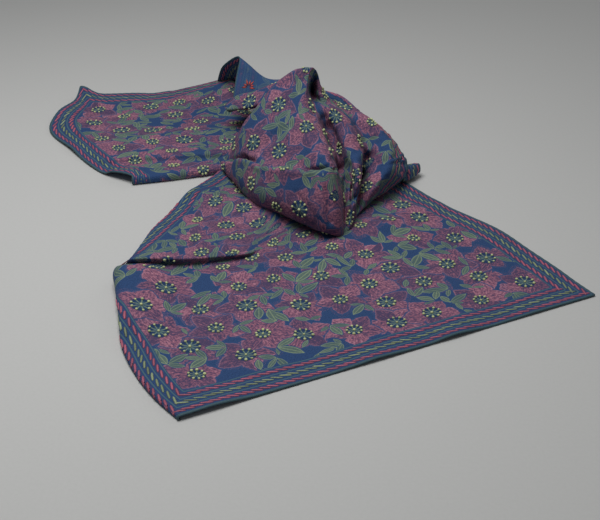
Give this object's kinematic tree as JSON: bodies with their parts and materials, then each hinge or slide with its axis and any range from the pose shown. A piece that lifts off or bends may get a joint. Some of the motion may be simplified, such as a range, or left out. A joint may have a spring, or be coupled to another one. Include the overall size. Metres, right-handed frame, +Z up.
{
  "type": "kantha shawl",
  "caption": "Long embroidered shawl dropped on a surface, one end spread flat, the middle gathered in a soft heap.",
  "frame": {"origin": "on the surface the shawl lies on, under the middle of its box", "axes": "+Z up, +Y away from the spread near end towards the heap, +X to the right as seen from the near end"},
  "size_m": [0.7946, 0.8891, 0.1717],
  "materials": {
    "kantha_face": "matt silk with dense running stitch in dusty rose, mauve and sage on navy",
    "kantha_reverse": "matt navy silk, the back of the embroidery, with faint olive and pink stitches",
    "kantha_inner": "matt dark layers inside the heap"
  },
  "bodies": {
    "root": {"near_end": "kantha_face", "gathered_front": "kantha_face", "hem_loop": "kantha_face", "far_end": "kantha_face", "side_fold": "kantha_face", "back_folds": "kantha_reverse", "inner_layers": "kantha_inner"}
  },
  "joints": []
}
